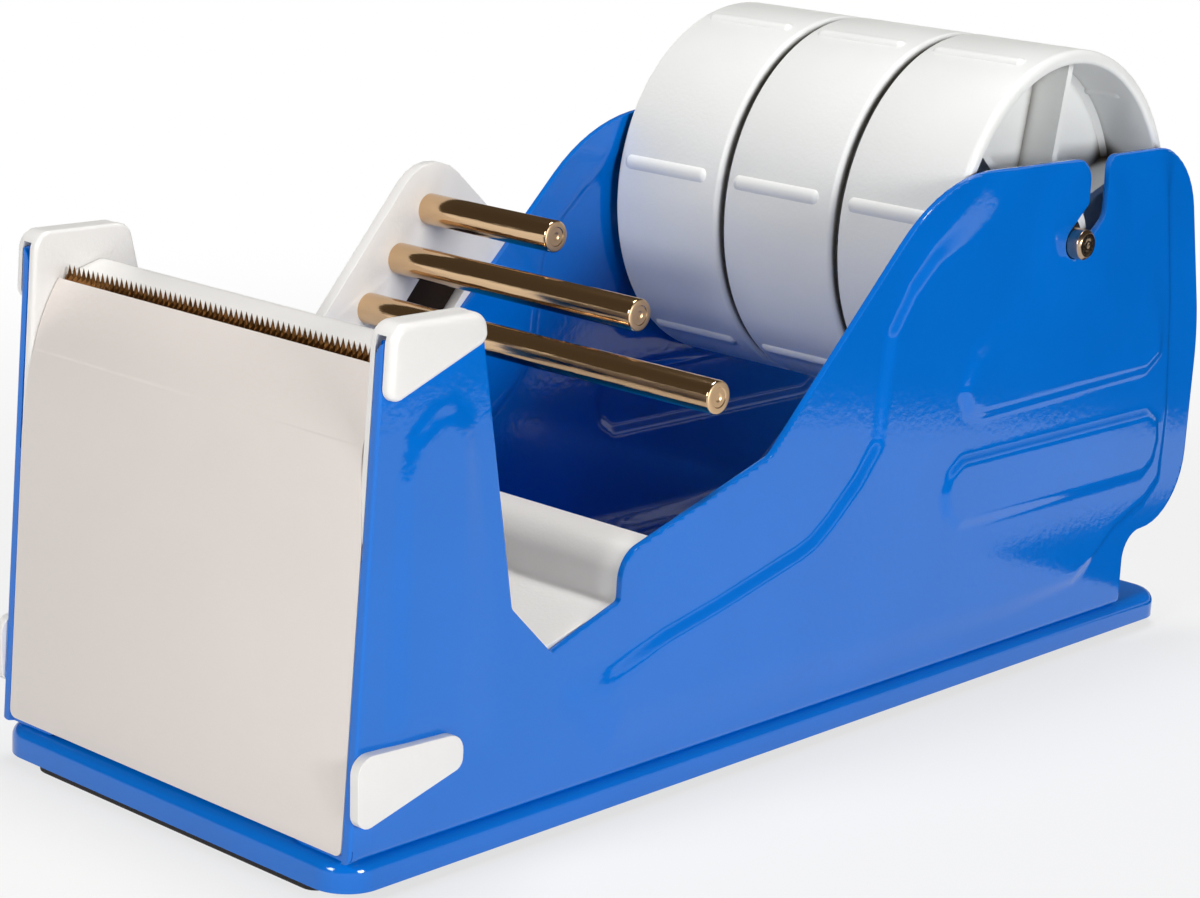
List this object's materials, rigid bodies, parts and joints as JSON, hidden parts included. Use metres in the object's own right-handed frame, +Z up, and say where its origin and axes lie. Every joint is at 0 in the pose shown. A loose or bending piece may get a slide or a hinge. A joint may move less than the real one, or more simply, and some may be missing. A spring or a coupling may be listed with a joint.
{
  "type": "multi-roll tape dispenser",
  "caption": "Desktop dispenser for several tape rolls side by side, with free-spinning cores on a lift-out axle, stepped guide rods and a toothed cutter bar between pressed side panels.",
  "frame": {"origin": "middle of the bounding box, on the surface that the rubber pad stands on", "axes": "+X to the right across the width along the roll axle, +Y along the length from the cutter to the rolls, +Z up"},
  "size_m": [0.0988, 0.2451, 0.1272],
  "materials": {
    "blue_paint": "gloss",
    "ballast_iron": "matte",
    "black_rubber": "matte",
    "zinc_steel": "satin",
    "grey_paint": "satin",
    "blade_steel": "satin",
    "white_plastic": "satin",
    "white_paint": "satin",
    "rod_metal": "bright",
    "axle_steel": "bright",
    "black_paint": "satin",
    "ring_steel": "satin",
    "core_plastic": "satin"
  },
  "bodies": {
    "frame": {"base_pan": "blue_paint", "ballast_plate": "ballast_iron", "base_pad": "black_rubber", "left_side_panel": "blue_paint", "right_side_panel": "blue_paint", "panel_screws": "zinc_steel", "front_cover": "grey_paint", "cover_nuts": "zinc_steel", "cutter_blade": "blade_steel", "blade_clamp_bar": "zinc_steel", "blade_screws": "zinc_steel", "tape_platen": "white_plastic", "upper_left_guard": "white_plastic", "upper_right_guard": "white_plastic", "post_studs": "zinc_steel", "post_nuts": "zinc_steel", "lower_left_guard": "white_plastic", "lower_right_guard": "white_plastic", "guard_push_nuts": "zinc_steel", "inner_tray": "white_plastic", "tray_screws": "zinc_steel", "rod_bracket": "white_paint", "bracket_clamp_plate": "black_paint", "bracket_rivets": "zinc_steel", "short_guide_rod": "rod_metal", "middle_guide_rod": "rod_metal", "long_guide_rod": "rod_metal", "rod_screws": "zinc_steel"},
    "axle": {"roll_axle": "axle_steel", "axle_rings": "ring_steel", "core_spacers": "white_plastic"},
    "left_core": {"left_roll_core": "core_plastic"},
    "middle_core": {"middle_roll_core": "core_plastic"},
    "right_core": {"right_roll_core": "core_plastic"}
  },
  "joints": [
    {"name": "axle_lift", "type": "slide", "parent": "frame", "child": "axle", "axis": [0, 0.766, 0.6428], "range_m": [0, 0.0094]},
    {"name": "left_core_spin", "type": "hinge", "parent": "axle", "child": "left_core", "pos_m": [0, 0.0698, 0.0891], "axis": [1, 0, 0], "continuous": true},
    {"name": "middle_core_spin", "type": "hinge", "parent": "axle", "child": "middle_core", "pos_m": [0, 0.0698, 0.0891], "axis": [1, 0, 0], "continuous": true},
    {"name": "right_core_spin", "type": "hinge", "parent": "axle", "child": "right_core", "pos_m": [0, 0.0698, 0.0891], "axis": [1, 0, 0], "continuous": true}
  ]
}
